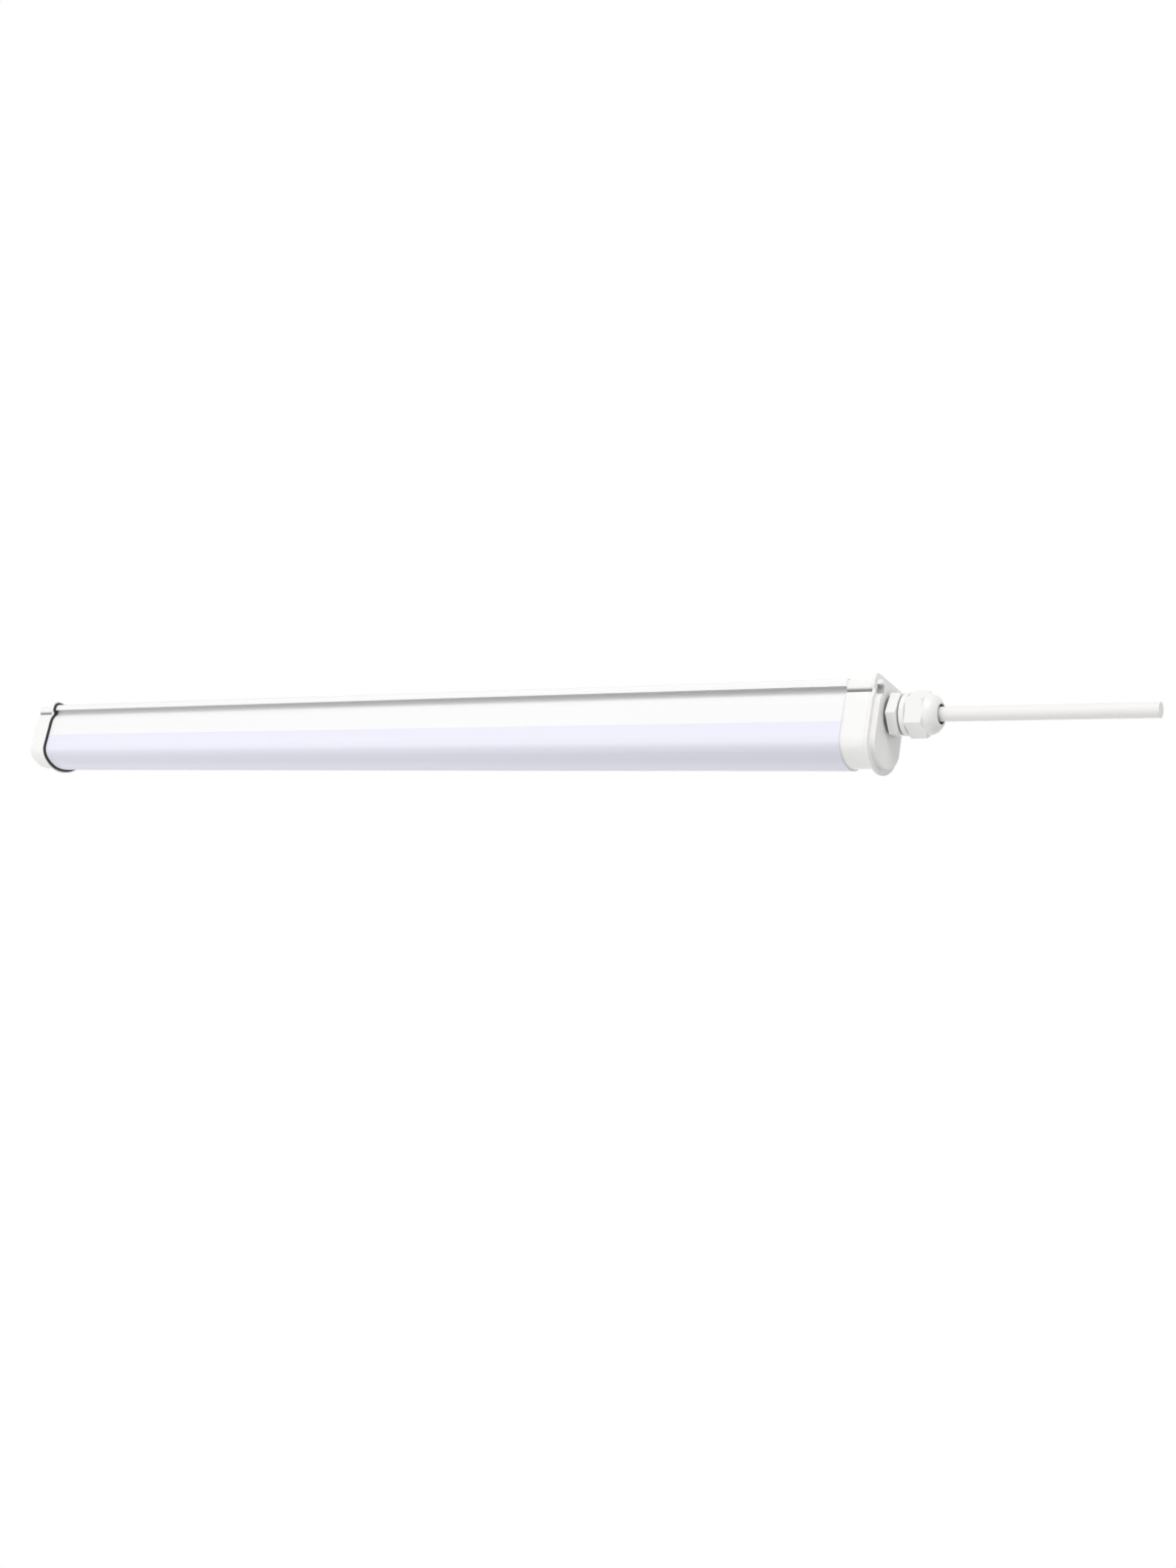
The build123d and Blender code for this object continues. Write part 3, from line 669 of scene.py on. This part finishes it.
class FIXTURE_OT_gland(bpy.types.Operator):
    """Finishes the gland and winds the thread on its stem"""

    bl_idname = "fixture.gland"
    bl_label = "Cable gland"

    def execute(self, context):
        sizes = context.scene.gland_sizes
        colours = context.scene.fixture_colours
        smooth = {"gloss": 0.3, "pebble": 1300.0, "relief": 0.000012}
        # Painted shade darkens the groove between the gland's hexagon and its collar
        nylon = moulded(
            "white_nylon", colours.gland, hollow=neck_recess, depth=colours.neck_depth, **smooth
        )
        wear(nylon, "gland_body", "gland_claw", "gland_locknut")
        # Painted shade darkens the nut's mouth round the seal's lip
        nut_nylon = moulded(
            "nut_nylon", colours.gland, hollow=mouth_recess, depth=colours.mouth_depth, **smooth
        )
        wear(nut_nylon, "gland_nut")
        tree, sockets = thread_tree()
        start = stem_end - sizes.thread_length - sizes.ridge
        thread = bake(
            "gland_thread",
            tree,
            {
                sockets["Radius"]: sizes.thread_radius,
                sockets["Pitch"]: sizes.thread_pitch,
                sockets["Length"]: sizes.thread_length,
                sockets["Ridge"]: sizes.ridge,
                sockets["Start"]: (start, cable_axis.y, cable_axis.z),
                sockets["Finish"]: nylon,
            },
        )
        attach(thread, "fixture")
        return {"FINISHED"}


class FIXTURE_OT_cable(bpy.types.Operator):
    """Lays the free stretch of cable and finishes the tail inside the gland"""

    bl_idname = "fixture.cable"
    bl_label = "Cable"

    def execute(self, context):
        colours = context.scene.fixture_colours
        sheath = cable_sheath("white_sheath", colours.sheath, colours.cut)
        wear(sheath, "cable_tail")
        length = stub_high.x - stub_low.x
        line = bpy.data.curves.new("free_cable", "CURVE")
        line.dimensions = "3D"
        line.bevel_depth = cable_diameter / 2
        line.bevel_resolution = context.scene.gland_sizes.cable_sides
        line.use_fill_caps = True
        route = line.splines.new("NURBS")
        route.points.add(len(route_shares) - 1)
        for point, share in zip(route.points, route_shares):
            point.co = (stub_low.x + share * length, cable_axis.y, cable_axis.z, 1.0)
        route.order_u = 3
        route.use_endpoint_u = True
        route.use_smooth = True
        cable = bpy.data.objects.new("free_cable", line)
        context.scene.collection.objects.link(cable)
        line.materials.append(sheath)
        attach(cable, "fixture")
        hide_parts("supply_cable")
        return {"FINISHED"}


class FIXTURE_OT_light_source(bpy.types.Operator):
    """Finishes the tray, the light board, its packages and all the screws"""

    bl_idname = "fixture.light_source"
    bl_label = "Light source"

    def execute(self, context):
        colours = context.scene.fixture_colours
        wear(
            worked_metal("mill_aluminium", colours.aluminium, gloss=0.3, run=rolling_lines),
            "led_tray",
        )
        wear(
            circuit_board("white_board", colours.board, copper=0.94, pitch=chip_pitch),
            "led_board",
        )
        wear(light_package("light_packages", colours.package, colours.phosphor), "led_chips")
        wear(
            worked_metal("zinc_steel", colours.steel, gloss=0.26, run=turning_lines),
            "board_screws",
            "driver_screws",
            "terminal_screws",
            "earth_screw",
        )
        return {"FINISHED"}


class FIXTURE_OT_driver(bpy.types.Operator):
    """Finishes the driver and the terminal block"""

    bl_idname = "fixture.driver"
    bl_label = "Driver and terminal"

    def execute(self, context):
        colours = context.scene.fixture_colours
        wear(moulded("driver_plastic", colours.driver, gloss=0.5), "driver_case", "driver_lid")
        wear(
            circuit_board("green_board", colours.circuit, copper=1.8, pitch=driver_pitch),
            "driver_board",
        )
        wear(
            moulded("dark_bodies", colours.component, gloss=0.3, pebble=1600.0),
            "driver_transformer",
            "driver_capacitors",
            "driver_choke",
        )
        wear(moulded("natural_nylon", colours.terminal, gloss=0.35), "terminal_block")
        return {"FINISHED"}


class FIXTURE_OT_wiring(bpy.types.Operator):
    """Finishes the wires, the leads and the earth tag"""

    bl_idname = "fixture.wiring"
    bl_label = "Wiring"

    def execute(self, context):
        colours = context.scene.fixture_colours
        for name, colour, pieces in (
            ("brown_insulation", colours.live, ("live_wire", "live_lead")),
            ("blue_insulation", colours.neutral, ("neutral_wire", "neutral_lead")),
            ("green_insulation", colours.earth, ("earth_wire", "earth_lead")),
            ("red_insulation", colours.positive, ("positive_lead",)),
            ("black_insulation", colours.component, ("negative_lead",)),
        ):
            wear(moulded(name, colour, gloss=0.35, pebble=2200.0), *pieces)
        wear(worked_metal("plain_brass", colours.brass, gloss=0.28, run=turning_lines), "earth_tag")
        return {"FINISHED"}


def lamp(name, energy, size, place, target):
    """A square soft lamp that points at a target."""
    light = bpy.data.lights.new(name, "AREA")
    light.energy = energy
    light.size = size
    holder = bpy.data.objects.new(name, light)
    bpy.context.scene.collection.objects.link(holder)
    holder.location = place
    aim = Vector(target) - Vector(place)
    holder.rotation_euler = aim.to_track_quat("-Z", "Y").to_euler()


class FIXTURE_OT_stage(bpy.types.Operator):
    """Sets up the floor, the lamps, the surrounding light and the camera"""

    bl_idname = "fixture.stage"
    bl_label = "Stage"

    def execute(self, context):
        scene = context.scene
        stage = scene.stage_settings

        world = bpy.data.worlds.new("studio")
        world.use_nodes = True
        nodes = Nodes(world.node_tree)
        strength = stage.ambient + (1.0 - stage.ambient) * nodes.seen()
        air = nodes.add("ShaderNodeBackground", sockets={"Color": white, "Strength": strength})
        nodes.add("ShaderNodeOutputWorld", sockets={"Surface": air})
        scene.world = world

        half = stage.floor_width / 2
        mesh = bpy.data.meshes.new("floor")
        corners = [(-half, -half), (half, -half), (half, half), (-half, half)]
        mesh.from_pydata([(x, y, -stage.floor_drop) for x, y in corners], [], [(0, 1, 2, 3)])
        floor = bpy.data.objects.new("floor", mesh)
        scene.collection.objects.link(floor)
        nodes = new_finish("pale_floor")
        paper = nodes.add("ShaderNodeBsdfDiffuse", sockets={"Color": rgba(stage.floor_colour)})
        glow = nodes.add("ShaderNodeEmission", sockets={"Color": white, "Strength": 1.0})
        shown = stage.floor_glow * nodes.seen()
        mixed = nodes.add("ShaderNodeMixShader", sockets={0: shown, 1: paper, 2: glow})
        nodes.add("ShaderNodeOutputMaterial", sockets={"Surface": mixed})
        mesh.materials.append(bpy.data.materials["pale_floor"])

        for name, (size, place, target) in lamps.items():
            lamp(name, getattr(stage, name), size, place, target)

        camera = bpy.data.objects.new("camera", bpy.data.cameras.new("camera"))
        scene.collection.objects.link(camera)
        camera.location = stage.camera_place
        camera.rotation_euler = stage.camera_turn
        camera.data.sensor_width = full_frame
        camera.data.lens = stage.lens
        camera.data.clip_start = near_clip
        scene.camera = camera

        scene.view_settings.view_transform = "Standard"
        return {"FINISHED"}


class FIXTURE_PT_panel(bpy.types.Panel):
    """Lists the light's steps and settings"""

    bl_idname = "FIXTURE_PT_panel"
    bl_label = "Vapor Tight Light"
    bl_space_type = "VIEW_3D"
    bl_region_type = "UI"
    bl_category = "Light"

    def draw(self, context):
        scene = context.scene
        for step in STEPS:
            self.layout.operator(step.bl_idname)
        for group in (scene.fixture_colours, scene.gland_sizes, scene.stage_settings):
            for name in type(group).__annotations__:
                self.layout.prop(group, name)


STEPS = (
    FIXTURE_OT_stage,
    FIXTURE_OT_cable,
    FIXTURE_OT_shells,
    FIXTURE_OT_caps,
    FIXTURE_OT_gland,
    FIXTURE_OT_light_source,
    FIXTURE_OT_driver,
    FIXTURE_OT_wiring,
)
CLASSES = (FixtureColours, GlandSizes, StageSettings, *STEPS, FIXTURE_PT_panel)


def register():
    for cls in CLASSES:
        bpy.utils.register_class(cls)
    bpy.types.Scene.fixture_colours = PointerProperty(type=FixtureColours)
    bpy.types.Scene.gland_sizes = PointerProperty(type=GlandSizes)
    bpy.types.Scene.stage_settings = PointerProperty(type=StageSettings)


def unregister():
    del bpy.types.Scene.stage_settings
    del bpy.types.Scene.gland_sizes
    del bpy.types.Scene.fixture_colours
    for cls in reversed(CLASSES):
        bpy.utils.unregister_class(cls)


def main():
    register()
    bpy.ops.fixture.stage()
    bpy.ops.fixture.cable()
    bpy.ops.fixture.shells()
    bpy.ops.fixture.caps()
    bpy.ops.fixture.gland()
    bpy.ops.fixture.light_source()
    bpy.ops.fixture.driver()
    bpy.ops.fixture.wiring()


if __name__ == "__main__":
    main()
